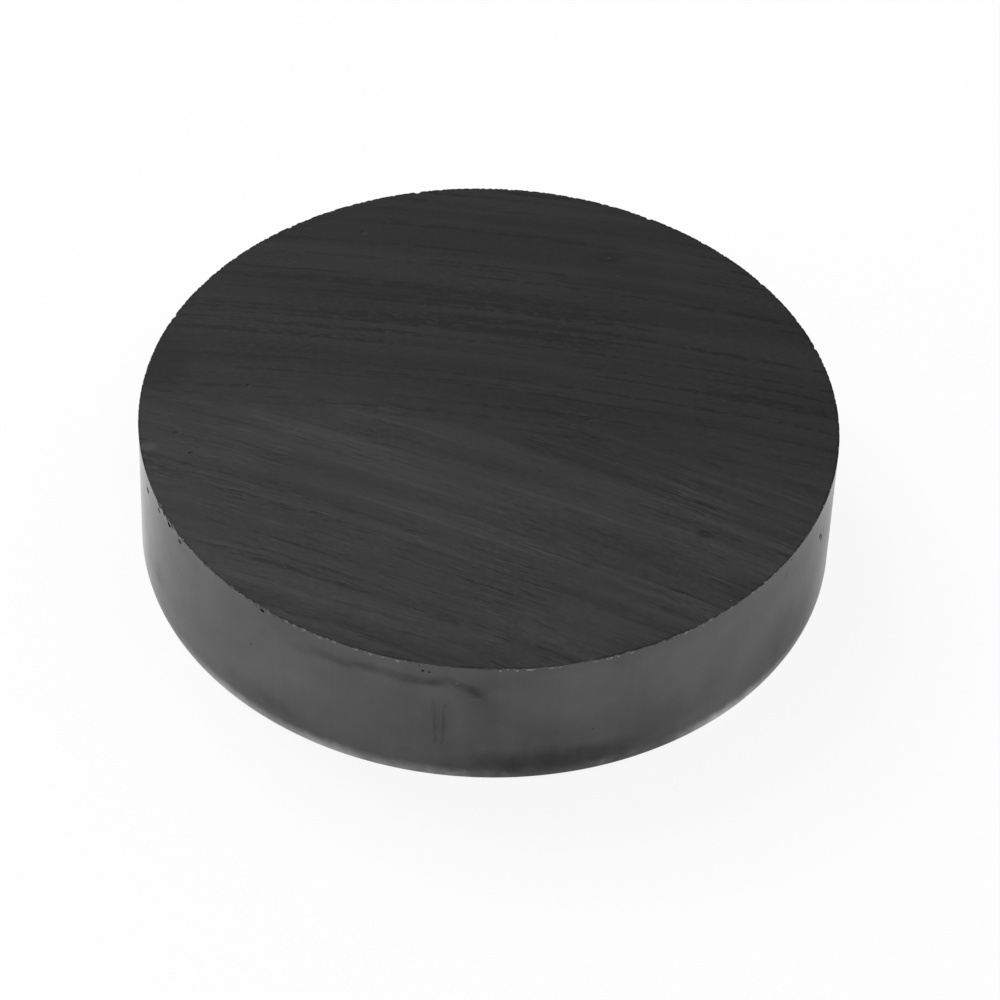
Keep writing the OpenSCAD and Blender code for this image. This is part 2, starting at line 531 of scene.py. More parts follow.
# %% The flake at the left: azimuth, reach over the face, width, drop, finish, pebble
FLAKE_AZIMUTH = -169.2
FLAKE_SCOOPS = [
    (FLAKE_AZIMUTH, 1.05, 1.0, 0.045, UPPER_FACE, smooth_pebble),
    (FLAKE_AZIMUTH - 1.8, 0.6, 0.18, 0.06, PORE_AND_SHADE, None),
    # painted shadow below the flake
    (FLAKE_AZIMUTH + 2, 0.35, 0.35, 0.06, PORE_AND_SHADE, None),
]
flake_scoops = [edge_chip(*scoop) for scoop in FLAKE_SCOOPS]
print(f"{len(flake_scoops)} scoops for the flake")

# %% [markdown]
# ## Pores
#
# Where the powder was not packed tight a pore stays in the ceramic, and grinding or the die opens
# it. Little light finds its way out of such a hollow, so it looks dark, and the deeper the darker.

# %% Pores in the face: azimuth, distance as a share of the radius, size across, size along, depth
FACE_PORES = [
    (117, 0.87, 0.45, 0.45, 0.13), (132, 0.46, 0.35, 0.25, 0.08), (173, 0.7, 0.42, 0.45, 0.12),
    (187.8, 0.895, 0.4, 0.25, 0.08), (193.5, 0.862, 0.4, 0.25, 0.09), (-0.5, 0.28, 0.5, 0.25, 0.12),
    (-36, 0.753, 0.32, 0.3, 0.13), (64.5, 0.78, 0.3, 0.3, 0.07), (60, 0.72, 0.2, 0.25, 0.06),
]
pores = [
    face_pit(azimuth, share * disc_r, across, along, depth)
    for azimuth, share, across, along, depth in FACE_PORES
]
print(f"{len(pores)} pores in the face")

# %% Pores in the side: azimuth, drop below the face, width, height
SIDE_PORES = [
    (-162.2, 1.2, 0.6, 0.4), (-155.8, 0.63, 0.45, 0.25), (-151.4, 0.34, 0.5, 0.4),
    (-147.6, 0.5, 0.45, 0.3), (-126.8, 0.3, 0.4, 0.2), (-99.4, 0.25, 0.12, 0.1), (-98.8, 0.63, 0.2, 0.2),
    (-97.8, 0.67, 0.25, 0.12), (-129.3, 3.9, 0.14, 0.12), (-71.5, 6.2, 0.08, 0.08), (-19, 2.5, 0.3, 0.5),
    (-18, 3, 0.25, 0.6), (-31.5, 0.32, 0.25, 0.12), (35, 4, 0.3, 0.2), (140, 2.2, 0.25, 0.3),
]
SIDE_PORE_DEPTH = 0.2
pores += [
    side_dent(azimuth, drop, width, height, SIDE_PORE_DEPTH)
    for azimuth, drop, width, height in SIDE_PORES
]
print(f"{len(SIDE_PORES)} pores in the side")

# %% [markdown]
# ## Draw marks
#
# As the pressed blank was pushed out of the die, a grain of powder scratched upright lines into the
# side. Each is cut by a thin rod that leans a little and wanders: a cylinder with rings along it, and
# each ring is shifted along the side by a share of the last ring's shift and a small amount of its own.

# %% Thin rods for the draw marks: azimuth, drop of the upper end, length, lean in degrees
DRAW_MARKS = [(-96.8, 3.1, 3.8, 1), (-95.3, 3.3, 3.6, -4)]
DRAW_ROD_R = 0.1
DRAW_BITE = 0.05
DRAW_WANDER = 0.12
SHIFT_KEPT = 0.7
ROD_SIDES = 12
ROD_RINGS = 11


def make_draw_rod(azimuth, drop, length, lean):
    bpy.ops.object.select_all(action="DESELECT")
    bpy.ops.mesh.primitive_cylinder_add(vertices=ROD_SIDES, radius=DRAW_ROD_R * MM, depth=length * MM)
    rod = bpy.context.object
    open_for_edit(rod, "EDGE")
    select_where(rod, "edges", is_upright)
    bpy.ops.mesh.subdivide(number_cuts=ROD_RINGS)
    close_edit()
    shift = 0
    for ring in range(1, ROD_RINGS + 1):
        ring_z = (ring / (ROD_RINGS + 1) - 0.5) * length * MM
        shift = SHIFT_KEPT * shift + draw.uniform(-1, 1) * DRAW_WANDER * MM
        open_for_edit(rod, "VERT")
        select_where(rod, "verts", lambda v: abs(v.co.z - ring_z) < HAIR)
        bpy.ops.transform.translate(value=(0, shift, 0))
        close_edit()
    give_finish(rod, SIDE)
    outward = disc_r + (DRAW_ROD_R - DRAW_BITE) * MM
    middle_z = disc_h - (drop + length / 2) * MM
    rod.data.transform(
        Matrix.Rotation(math.radians(azimuth), 4, "Z")
        @ Matrix.Translation((outward, 0, middle_z))
        @ Matrix.Rotation(math.radians(lean), 4, "X")
    )
    return rod


draw_rods = [make_draw_rod(*mark) for mark in DRAW_MARKS]
print(f"{len(draw_rods)} draw marks")

# %% [markdown]
# ## Faint nicks and fresh specks
#
# The front right of the edge has a row of fainter nicks, each a single scoop, and the left has a few
# more beside its pores. At the front right three grains broke out of the ground face, and each left
# a pale speck of fresh fracture.

# %% Faint nicks: azimuth, width, reach over the face, drop, finish
FAINT_NICKS = [
    (-61.8, 0.5, 0.1, 0.1, PORE_AND_SHADE), (-59.4, 0.4, 0.11, 0.1, PORE_AND_SHADE), (-57.6, 0.25, 0.06, 0.13, FRACTURE),
    (-54.4, 0.45, 0.12, 0.09, PORE_AND_SHADE), (-51.3, 0.35, 0.05, 0.15, FRACTURE), (-50.2, 0.5, 0.12, 0.08, PORE_AND_SHADE),
    (-48.8, 0.35, 0.05, 0.15, FRACTURE), (-46.9, 0.3, 0.05, 0.15, FRACTURE),
    (-42.1, 0.35, 0.05, 0.14, FRACTURE), (-39.8, 0.35, 0.09, 0.07, PORE_AND_SHADE),
    (-36.5, 0.25, 0.05, 0.13, FRACTURE), (-155.3, 0.5, 0.12, 0.35, SIDE), (-153.4, 0.3, 0.1, 0.3, PORE_AND_SHADE),
    (-150.2, 0.5, 0.1, 0.4, SIDE), (-146.6, 0.3, 0.08, 0.3, FRACTURE), (-127.9, 0.5, 0.1, 0.3, SIDE),
    (-125.8, 0.3, 0.08, 0.35, FRACTURE),
]
faint_nicks = [
    edge_chip(azimuth, reach, width, drop, finish)
    for azimuth, width, reach, drop, finish in FAINT_NICKS
]

# %% Fresh specks in the face: azimuth, distance as a share of the radius, size across, size along
FRESH_SPECKS = [(-51, 0.883, 0.07, 0.08), (-60.3, 0.973, 0.07, 0.16), (-46, 0.98, 0.1, 0.12)]
FRESH_SPECK_DEPTH = 0.04
fresh_specks = [
    face_pit(azimuth, share * disc_r, across, along, FRESH_SPECK_DEPTH, FRACTURE)
    for azimuth, share, across, along in FRESH_SPECKS
]
print(f"{len(faint_nicks)} faint nicks, {len(fresh_specks)} specks")

# %% [markdown]
# ## Cutting
#
# One Boolean with hundreds of joined pebbles is far quicker than hundreds of Booleans. Where
# joined cutters overlap each other, the Manifold solver accepts it. Neighbours in the row of tiny
# chips often do, so that row is cut in two lots, every other chip at a time.

# %% Cut all of it out of the disc
def cut_away(cutters, label):
    bpy.ops.object.select_all(action="DESELECT")
    for cutter in cutters:
        cutter.select_set(True)
    bpy.context.view_layer.objects.active = cutters[0]
    bpy.ops.object.join()
    joined = bpy.context.object
    modifier = disc.modifiers.new(label, "BOOLEAN")
    modifier.operation = "DIFFERENCE"
    modifier.solver = "MANIFOLD"
    modifier.object = joined
    bpy.context.view_layer.objects.active = disc
    bpy.ops.object.modifier_apply(modifier=label)
    bpy.data.objects.remove(joined)
    print(f"{label}: {len(disc.data.polygons)} faces")


CUTS = {
    "draw_marks": draw_rods,
    "tiny_chips_even": tiny_chips[0::2],
    "tiny_chips_odd": tiny_chips[1::2],
    "lips": lips,
    "facets": facets,
    "flake": flake_scoops,
    "pores": pores,
    "faint_nicks": faint_nicks,
    "fresh_specks": fresh_specks,
}
for label, cutters in CUTS.items():
    cut_away(cutters, label)
for pebble in (*pebbles, smooth_pebble):
    bpy.data.objects.remove(pebble)

# %% [markdown]
# ## Shading
#
# The side has to look round and the chips crisp. Shading by angle smooths every edge that is
# flatter than the limit and keeps the sharper ones. The two ground faces are dead flat, so they are
# shaded flat, and no chip at their edge can bend the light on them. The flake has the same finish
# but is curved, so the test asks for the direction too.

# %% Smooth the side, keep the chips sharp
SHARP_ANGLE = math.radians(28)
LEVEL = 0.99999
bpy.ops.object.select_all(action="DESELECT")
disc.select_set(True)
bpy.context.view_layer.objects.active = disc
disc.vertex_groups.clear()
bpy.ops.object.shade_smooth_by_angle(angle=SHARP_ANGLE, keep_sharp_edges=False)
for face in disc.data.polygons:
    if face.material_index in (UPPER_FACE, LOWER_FACE) and abs(face.normal.z) > LEVEL:
        face.use_smooth = False
disc.data.calc_loop_triangles()
print(f"disc: {len(disc.data.loop_triangles)} triangles")

# %% [markdown]
# ## Building materials in code
#
# A material is a tree of nodes. One helper adds a node, sets its properties, and fills its inputs:
# a number is written into the socket, and another node's output is linked to it. Patterns read
# Object coordinates, which stay fixed to the disc, and are turned into millimetres first, so that
# every size in a material is one that could be measured on the part. A Mix node gives its sockets
# for numbers and for colours the same names, so those are picked by their number in the node.

# %% Helpers for node trees
def add(tree, kind, inputs=None, **properties):
    node = tree.nodes.new("ShaderNode" + kind)
    for name, value in properties.items():
        setattr(node, name, value)
    for socket, value in (inputs or {}).items():
        if isinstance(value, bpy.types.NodeSocket):
            tree.links.new(value, node.inputs[socket])
        else:
            node.inputs[socket].default_value = value
    return node


def calculate(tree, operation, *values):
    return add(tree, "Math", dict(enumerate(values)), operation=operation).outputs[0]


def calculate_vector(tree, operation, *values):
    return add(tree, "VectorMath", dict(enumerate(values)), operation=operation).outputs[0]


def length_of(tree, vector):
    return add(tree, "VectorMath", {0: vector}, operation="LENGTH").outputs["Value"]


def rescale(tree, value, from_low, from_high, to_low, to_high, curve="SMOOTHSTEP"):
    inputs = {
        "Value": value,
        "From Min": from_low,
        "From Max": from_high,
        "To Min": to_low,
        "To Max": to_high,
    }
    return add(tree, "MapRange", inputs, interpolation_type=curve).outputs["Result"]


def weighted_sum(tree, start, parts):
    total = start
    for value, weight in parts:
        total = calculate(tree, "MULTIPLY_ADD", value, weight, total)
    return total


def blend_values(tree, share, low, high):
    return add(tree, "Mix", {"Factor": share, 2: low, 3: high}).outputs[0]


def blend_colours(tree, share, low, high):
    return add(tree, "Mix", {"Factor": share, 6: low, 7: high}, data_type="RGBA").outputs[2]


def place_in_mm(tree):
    coordinates = add(tree, "TexCoord")
    scale = {"Vector": coordinates.outputs["Object"], "Scale": (1 / MM,) * 3}
    return add(tree, "Mapping", scale).outputs["Vector"]


# %% [markdown]
# ## Noise, greys and groups
#
# Nearly every pattern below starts as noise. It varies round its mean, and seldom leaves the
# stretch from low to high, so that stretch is what gets spread from none to full. The ceramic has
# no hue, so each of its colours is one grey. An effect that several finishes use becomes a
# group with named inputs and outputs.

# %% Helpers for noise, greys and groups
NOISE_LOW = 0.35
NOISE_MEAN = 0.5
NOISE_HIGH = 0.65
ROUGH_NOISE = 0.6


def noise(tree, place, scale, detail=2, roughness=0.5, distortion=0):
    inputs = {
        "Vector": place,
        "Scale": scale,
        "Detail": detail,
        "Roughness": roughness,
        "Distortion": distortion,
    }
    return add(tree, "TexNoise", inputs).outputs["Fac"]


def noise_round_zero(tree, place, scale, detail=2, roughness=0.5):
    return calculate(tree, "SUBTRACT", noise(tree, place, scale, detail, roughness), NOISE_MEAN)


def grey(level):
    return (level, level, level, 1)


def open_group(name, inputs, outputs):
    tree = bpy.data.node_groups.new(name, "ShaderNodeTree")
    for label, kind, value in inputs:
        socket = tree.interface.new_socket(label, in_out="INPUT", socket_type="NodeSocket" + kind)
        socket.default_value = value
    for label, kind in outputs:
        tree.interface.new_socket(label, in_out="OUTPUT", socket_type="NodeSocket" + kind)
    entry = tree.nodes.new("NodeGroupInput")
    leave = tree.nodes.new("NodeGroupOutput")
    return tree, entry.outputs, leave.inputs


def effect(tree, group, inputs, output):
    return add(tree, "Group", inputs, node_tree=group).outputs[output]


def connect_shader(finish, colour, roughness, height, bump_depth, ior):
    tree = finish.node_tree
    shader = tree.nodes["Principled BSDF"]
    bump = add(tree, "Bump", {"Strength": 1, "Distance": bump_depth, "Height": height})
    tree.links.new(colour, shader.inputs["Base Color"])
    tree.links.new(roughness, shader.inputs["Roughness"])
    tree.links.new(bump.outputs["Normal"], shader.inputs["Normal"])
    shader.inputs["IOR"].default_value = ior
    print(f"{finish.name} finished with {len(tree.nodes)} nodes")


# %% [markdown]
# ## Effect: sintered grain
#
# Every surface of the disc shows the same grain of fused powder, coarser where it broke and finer
# where it was ground. It is one group with the grain size as its input, so the two ground faces,
# the side and the fracture share it.

# %% Group: sintered grain
grain_group, given, result = open_group(
    "sintered_grain",
    [("Place", "Vector", (0, 0, 0)), ("Grain Size", "Float", 0.1)],
    [("Grain", "Float")],
)
grain_scale = calculate(grain_group, "DIVIDE", 1, given["Grain Size"])
grain_noise = noise(grain_group, given["Place"], grain_scale, roughness=ROUGH_NOISE)
grain_group.links.new(grain_noise, result["Grain"])


def sintered_grain(tree, place, grain_size):
    return effect(tree, grain_group, {"Place": place, "Grain Size": grain_size}, "Grain")


# %% [markdown]
# ## Effect: marks of the grinding wheel
#
# A cup wheel far larger than the disc sweeps over the face, so its marks are arcs about one
# distant centre. The group finds how far a point lies from that centre and how far along the
# arc, and stretches noise much more along than across. Low and High set where the noise turns from
# no mark into a full one: close together and high up they leave a few separate marks, and far
# apart they give soft bands. Shift moves the same marks outwards, which is how a mark gets a lip.

# %% Group: wheel marks
DROP_THE_HEIGHT = (1, 1, 0)
marks_group, given, result = open_group(
    "wheel_marks",
    [
        ("Place", "Vector", (0, 0, 0)),
        ("Wheel Centre", "Vector", (0, -200, 0)),
        ("Width", "Float", 0.3),
        ("Length", "Float", 8),
        ("Low", "Float", NOISE_LOW),
        ("High", "Float", NOISE_HIGH),
        ("Shift", "Float", 0),
        ("Seed", "Float", 0),
    ],
    [("Mark", "Float"), ("Distance", "Float")],
)
from_centre = calculate_vector(marks_group, "SUBTRACT", given["Place"], given["Wheel Centre"])
in_the_face = calculate_vector(marks_group, "MULTIPLY", from_centre, DROP_THE_HEIGHT)
distance = length_of(marks_group, in_the_face)
parts = add(marks_group, "SeparateXYZ", {0: from_centre}).outputs
angle = calculate(marks_group, "ARCTAN2", parts["X"], parts["Y"])
way_along = calculate(marks_group, "MULTIPLY", angle, distance)
shifted = calculate(marks_group, "SUBTRACT", distance, given["Shift"])
across = calculate(marks_group, "DIVIDE", shifted, given["Width"])
along = calculate(marks_group, "DIVIDE", way_along, given["Length"])
track = add(marks_group, "CombineXYZ", {"X": across, "Y": along, "Z": given["Seed"]}).outputs[0]
mark = rescale(marks_group, noise(marks_group, track, 1), given["Low"], given["High"], 0, 1)
marks_group.links.new(mark, result["Mark"])
marks_group.links.new(distance, result["Distance"])

# %% [markdown]
# ## Effect: a soft patch
#
# Stains from the kiln and smudges on the face are soft ovals with a ragged outline. The group
# measures the distance from the patch's centre in units of its size, and adds noise to it. The
# patch is full up to its core and fades to nothing at its size.

# %% Group: soft patch
PATCH_CORE = 0.2
RAG_SCALE = 0.8
RAG_DETAIL = 3
patch_group, given, result = open_group(
    "soft_patch",
    [
        ("Place", "Vector", (0, 0, 0)),
        ("Centre", "Vector", (0, 0, 0)),
        ("Size", "Vector", (1, 1, 1)),
        ("Raggedness", "Float", 0.8),
    ],
    [("Patch", "Float")],
)
rag = noise_round_zero(patch_group, given["Place"], RAG_SCALE, RAG_DETAIL)
rag = calculate(patch_group, "MULTIPLY", rag, given["Raggedness"])
offset = calculate_vector(patch_group, "SUBTRACT", given["Place"], given["Centre"])
in_sizes = calculate_vector(patch_group, "DIVIDE", offset, given["Size"])
reach = calculate(patch_group, "ADD", length_of(patch_group, in_sizes), rag)
patch_group.links.new(rescale(patch_group, reach, PATCH_CORE, 1, 1, 0), result["Patch"])


def soft_patch(tree, place, centre, size, **more):
    return effect(tree, patch_group, {"Place": place, "Centre": centre, "Size": size, **more}, "Patch")


# %% [markdown]
# ## Effect: a band along an edge
#
# Two finishes paint light in a band along an edge: painted shade at the rim of the ground face,
# and a painted highlight on the rounded lower edge of the side. The group measures how far a point
# lies from the edge's circle and fades out over the given reach. Noise breaks the band up along the
# edge, and fray roughens its border.

# %% Group: edge band
FRAY_SCALE = 1.2
FRAY_DETAIL = 4
edge_band_group, given, result = open_group(
    "edge_wear",
    [
        ("Place", "Vector", (0, 0, 0)),
        ("Edge Radius", "Float", 22.5),
        ("Edge Height", "Float", 10),
        ("Reach", "Float", 0.2),
        ("Breakup Size", "Float", 0.4),
        ("Breakup", "Float", 1),
        ("Fray", "Float", 0),
    ],
    [("Wear", "Float")],
)
parts = add(edge_band_group, "SeparateXYZ", {0: given["Place"]}).outputs
from_axis = length_of(edge_band_group, calculate_vector(edge_band_group, "MULTIPLY", given["Place"], DROP_THE_HEIGHT))
outward = calculate(edge_band_group, "SUBTRACT", from_axis, given["Edge Radius"])
upward = calculate(edge_band_group, "SUBTRACT", parts["Z"], given["Edge Height"])
from_edge = add(edge_band_group, "CombineXYZ", {"X": outward, "Y": upward}).outputs[0]
frayed = noise_round_zero(edge_band_group, given["Place"], FRAY_SCALE, FRAY_DETAIL, ROUGH_NOISE)
to_edge = calculate(edge_band_group, "MULTIPLY_ADD", frayed, given["Fray"], length_of(edge_band_group, from_edge))
breakup_scale = calculate(edge_band_group, "DIVIDE", 1, given["Breakup Size"])
breakup = noise(edge_band_group, given["Place"], breakup_scale)
held_back = rescale(edge_band_group, breakup, NOISE_LOW, NOISE_HIGH, given["Breakup"], 0)
edge_mask = rescale(edge_band_group, to_edge, 0, given["Reach"], 1, 0)
edge_mask = calculate(edge_band_group, "MULTIPLY", edge_mask, calculate(edge_band_group, "SUBTRACT", 1, held_back))
edge_band_group.links.new(edge_mask, result["Wear"])

# %% [markdown]
# ## Finish: the ground pole face
#
# Two passes of the wheel cross at a small angle. The last pass, with its own centre, reached as far
# as one of the arcs of the pass before, and beyond that arc the older marks still show. A pass
# leaves soft bands, long thin streaks and pale scratches. Where a grain stood out of the wheel it
# skipped along, and its row holds short dashes, each a small tear, and the finer ones have a pale
# lip on one side, a painted highlight where the tear's edge catches the light. Real marks waver, so
# the place they read is shaken a little first, and they come in patches. At the very rim the face is
# darker, in a narrow and broken band of painted shade, as under the chipped edge.

# %% Kinds of marks: width and length in mm, low, high, tone, tone of the painted highlight on the lip
Marks = namedtuple("Marks", "width length low high tone lip_tone", defaults=[0])
LIP_SHIFT = 0.18
LAST_BANDS = Marks(1.9, 60, 0.35, 0.65, -0.21)
LAST_ROWS = Marks(0.6, 90, 0.53, 0.61, -0.04)
LAST_DASHES = [
    Marks(0.5, 2.5, 0.46, 0.56, -0.2),
    Marks(0.26, 1, 0.5, 0.6, -0.16, 0.12),
]
LAST_MARKS = [
    Marks(0.8, 30, 0.56, 0.6, 0.18),
    Marks(0.15, 2.5, 0.59, 0.65, 0.24),
    Marks(0.3, 3, 0.59, 0.65, -0.18),
    Marks(0.3, 0.45, 0.38, 0.62, -0.1),
]
LAST_PASS = (LAST_BANDS, LAST_ROWS, LAST_DASHES, LAST_MARKS)
FIRST_BANDS = Marks(1.6, 30, 0.35, 0.65, -0.14)
FIRST_ROWS = Marks(0.5, 35, 0.53, 0.61, -0.06)
FIRST_DASHES = [
    Marks(0.5, 1.2, 0.45, 0.54, -0.28),
    Marks(0.3, 0.8, 0.5, 0.6, -0.14, 0.1),
]
FIRST_MARKS = [
    Marks(0.3, 14, 0.56, 0.64, -0.06),
    Marks(0.14, 0.8, 0.62, 0.68, 0.2),
    Marks(0.28, 0.45, 0.36, 0.64, -0.1),
]
FIRST_PASS = (FIRST_BANDS, FIRST_ROWS, FIRST_DASHES, FIRST_MARKS)

# %% Helper: one pass of the wheel
ROWS_SEED = 10
DASHES_SEED = 20
MARKS_SEED = 60
SEED_STEP = 10


def wheel_pass(tree, place, wheel_centre, seed, bands, rows, dashes, marks):
    def streaks(kind, seed_shift, shift=0):
        inputs = {
            "Place": place,
            "Wheel Centre": wheel_centre,
            "Width": kind.width,
            "Length": kind.length,
            "Low": kind.low,
            "High": kind.high,
            "Shift": shift,
            "Seed": seed + seed_shift,
        }
        return add(tree, "Group", inputs, node_tree=marks_group).outputs

    def tone_of(kind, seed_shift):
        tones = [(streaks(kind, seed_shift)["Mark"], kind.tone)]
        # The pale lip is a painted highlight.
        if kind.lip_tone:
            tones.append((streaks(kind, seed_shift, LIP_SHIFT)["Mark"], kind.lip_tone))
        return weighted_sum(tree, 0, tones)

    def add_marks(start, kinds, seed_shift):
        tones = [(tone_of(kind, seed_shift + SEED_STEP * index), 1) for index, kind in enumerate(kinds)]
        return weighted_sum(tree, start, tones)

    band = streaks(bands, 0)
    band_tone = calculate(tree, "MULTIPLY", band["Mark"], bands.tone)
    row = streaks(rows, ROWS_SEED)["Mark"]
    dashed_rows = calculate(tree, "MULTIPLY", add_marks(0, dashes, DASHES_SEED), row)
    row_tone = calculate(tree, "MULTIPLY_ADD", row, rows.tone, dashed_rows)
    return band_tone, add_marks(row_tone, marks, MARKS_SEED), band["Distance"]


# %% Tones, reliefs and sizes of a ground face
FACE_TONE = 0.24
SWEPT_TONE = 0.22
SWEPT_FADE = 3
FIRST_PASS_SEED = 5
WAVER = 0.25
WAVER_SCALE = 0.5
WAVER_DETAIL = 4
MARK_PATCHES_SCALE = 0.13
MARK_STRENGTHS = (0.5, 1.15)
FACE_GRAIN = 0.12
FACE_GRAIN_TONE = 0.1
FACE_GRAIN_RELIEF = 0.6
RIM_REACH = 0.22
RIM_BREAKUP = 3
RIM_SHADE_TONE = -0.7
FACE_DARK = grey(0.006)
FACE_LIGHT = grey(0.042)
FACE_ROUGHNESS = (0.5, 0.62)
FACE_BUMP = 0.002 * MM
FACE_IOR = 1.26


# %% Helper: a ground face
def finish_ground_face(
    slot, edge_height, last_centre, first_centre, stop_distance, smudges_and_painted_light, calm, seed
):
    tree = finishes[slot].node_tree
    place = place_in_mm(tree)
    waver = {"Vector": place, "Scale": WAVER_SCALE, "Detail": WAVER_DETAIL, "Roughness": ROUGH_NOISE}
    waver = add(tree, "TexNoise", waver).outputs["Color"]
    shaken = calculate_vector(tree, "MULTIPLY_ADD", waver, (WAVER,) * 3, place)
    last_bands, last_marks, _ = wheel_pass(tree, shaken, last_centre, seed, *LAST_PASS)
    first_bands, first_marks, distance = wheel_pass(
        tree, shaken, first_centre, seed + FIRST_PASS_SEED, *FIRST_PASS
    )
    swept = rescale(tree, distance, stop_distance - SWEPT_FADE, stop_distance + SWEPT_FADE, 1, 0)
    bands = blend_values(tree, swept, first_bands, last_bands)
    marks = blend_values(tree, swept, first_marks, last_marks)
    strength = noise(tree, place, MARK_PATCHES_SCALE)
    strength = rescale(tree, strength, NOISE_LOW, NOISE_HIGH, *MARK_STRENGTHS)
    calm_centre, calm_size, calmness = calm
    calm_patch = soft_patch(tree, place, calm_centre, calm_size)
    kept = calculate(tree, "MULTIPLY_ADD", calm_patch, -calmness, 1)
    marks = calculate(tree, "MULTIPLY", marks, calculate(tree, "MULTIPLY", strength, kept))
    grain = sintered_grain(tree, place, FACE_GRAIN)
    rim = {
        "Place": place,
        "Edge Radius": disc_r / MM,
        "Edge Height": edge_height,
        "Reach": RIM_REACH,
        "Breakup Size": RIM_BREAKUP,
    }
    edge_mask = effect(tree, edge_band_group, rim, "Wear")
    # The rim band is painted shade.
    parts = [(bands, 1), (marks, 1), (swept, SWEPT_TONE), (grain, FACE_GRAIN_TONE), (edge_mask, RIM_SHADE_TONE)]
    tone = weighted_sum(tree, FACE_TONE, parts)
    # Smudges shift the tone; on the upper face some of them are painted light.
    for centre, size, darkness in smudges_and_painted_light:
        tone = calculate(tree, "MULTIPLY_ADD", soft_patch(tree, place, centre, size), -darkness, tone)
    colour = blend_colours(tree, tone, FACE_DARK, FACE_LIGHT)
    roughness = rescale(tree, tone, 0, 1, *FACE_ROUGHNESS, "LINEAR")
    height = weighted_sum(tree, 0, [(marks, 1), (grain, FACE_GRAIN_RELIEF)])
    connect_shader(finishes[slot], colour, roughness, height, FACE_BUMP, FACE_IOR)


# %% [markdown]
# ## The two pole faces
#
# Both faces were ground the same way, each with its own arcs. A smudge is given by its centre and
# size in millimetres and by how much darker it is, and below zero it is paler. On the upper face
# some are painted light: the large pale one at the front left paints part of the face's sheen, two
# pale ones on the flake paint the highlight it catches, and a dark one paints shade round the pore
# at -36 degrees. The marks are fainter in one calm patch, which also has a centre, a size and a
# strength.

# %% Upper and lower face
def in_radii(x, y):
    return (x * disc_r / MM, y * disc_r / MM, 0)


UPPER_LAST_WHEEL = in_radii(-3.8, -9.7)
UPPER_FIRST_WHEEL = in_radii(-1.0, -8.14)
UPPER_STOP = 8.17 * disc_r / MM
UPPER_SMUDGES_AND_PAINTED_LIGHT = [
    # The large pale patch at the front left paints part of the face's sheen.
    ((-10, -10, 10), (26, 16, 6), -0.2),
    ((-21.5, 3.5, 10), (3, 4.5, 2), 0.2),
    ((18, -6, 10), (9, 7, 3), -0.05),
    ((-12, -7.5, 10), (9, 5.5, 3), 0.12),
    ((-18, -1, 10), (3.5, 3, 2), 0.09),
    ((13.5, -13.5, 10), (4, 3, 2), -0.12),
    ((-2, 9, 10), (7, 4, 3), -0.06),
    ((9, 13.5, 10), (4, 3, 3), 0.06),
    # painted shade round the pore at -36 degrees
    ((13.8, -10.1, 10), (0.9, 0.6, 1), 0.3),
    ((3, -4, 10), (9, 3.5, 3), 0.13),
    ((5, -18.5, 10), (8, 3, 3), -0.18),
    ((7.3, 15.8, 10), (2.2, 0.8, 1), 0.16),
    ((-8.5, -0.3, 10), (4, 1.3, 3), -0.12),
    # Pale patches on the flake, here and three lines down, paint the highlight it catches.
    ((-21.65, -4.05, 10), (0.85, 0.55, 1), -0.5),
    ((-18.64, -4.65, 10), (0.35, 0.15, 1), 0.2),
    ((-19.2, -4.25, 10), (0.3, 0.15, 1), 0.12),
    ((-21.9, -4.1, 10), (0.6, 0.4, 1), -0.6),
    ((6, 0.35, 10), (0.4, 0.15, 1), -0.3),
]
UPPER_CALM = ((3, 18, 10), (24, 9, 4), 0.5)
LOWER_LAST_WHEEL = in_radii(6.1, -8.3)
LOWER_FIRST_WHEEL = in_radii(2.9, 8.6)
LOWER_STOP = 9.07 * disc_r / MM
LOWER_SMUDGES = [((9, -7, 0), (3, 2, 2), 0.2)]
LOWER_CALM = ((-6, 10, 0), (14, 9, 4), 0.5)

finish_ground_face(
    UPPER_FACE,
    disc_h / MM,
    UPPER_LAST_WHEEL,
    UPPER_FIRST_WHEEL,
    UPPER_STOP,
    UPPER_SMUDGES_AND_PAINTED_LIGHT,
    UPPER_CALM,
    seed=3,
)
finish_ground_face(
    LOWER_FACE,
    0,
    LOWER_LAST_WHEEL,
    LOWER_FIRST_WHEEL,
    LOWER_STOP,
    LOWER_SMUDGES,
    LOWER_CALM,
    seed=60,
)

# %% [markdown]
# ## Finish: the side as it left the kiln
#
# Nothing touched the side after firing, so it keeps a smooth skin with a low sheen. Its tone
# drifts in soft clouds between paler fields and darker patches, and the darkest patches are duller
# too. Some patches are real stains, and some are painted light: painted shade in the draw marks, and
# darker and paler patches that paint the side's reflection of the floor, with the disc's shadow low
# on the front and a darker lower left end. A band of painted shade darkens the press line, and the
# rounded lower edge carries a pale band of painted highlight, weaker in some patches and stronger in
# others. The patches and the press line are placed on the unrolled side, so there the material works
# with the way along the side from the +X direction and the drop below the upper face, both in mm.

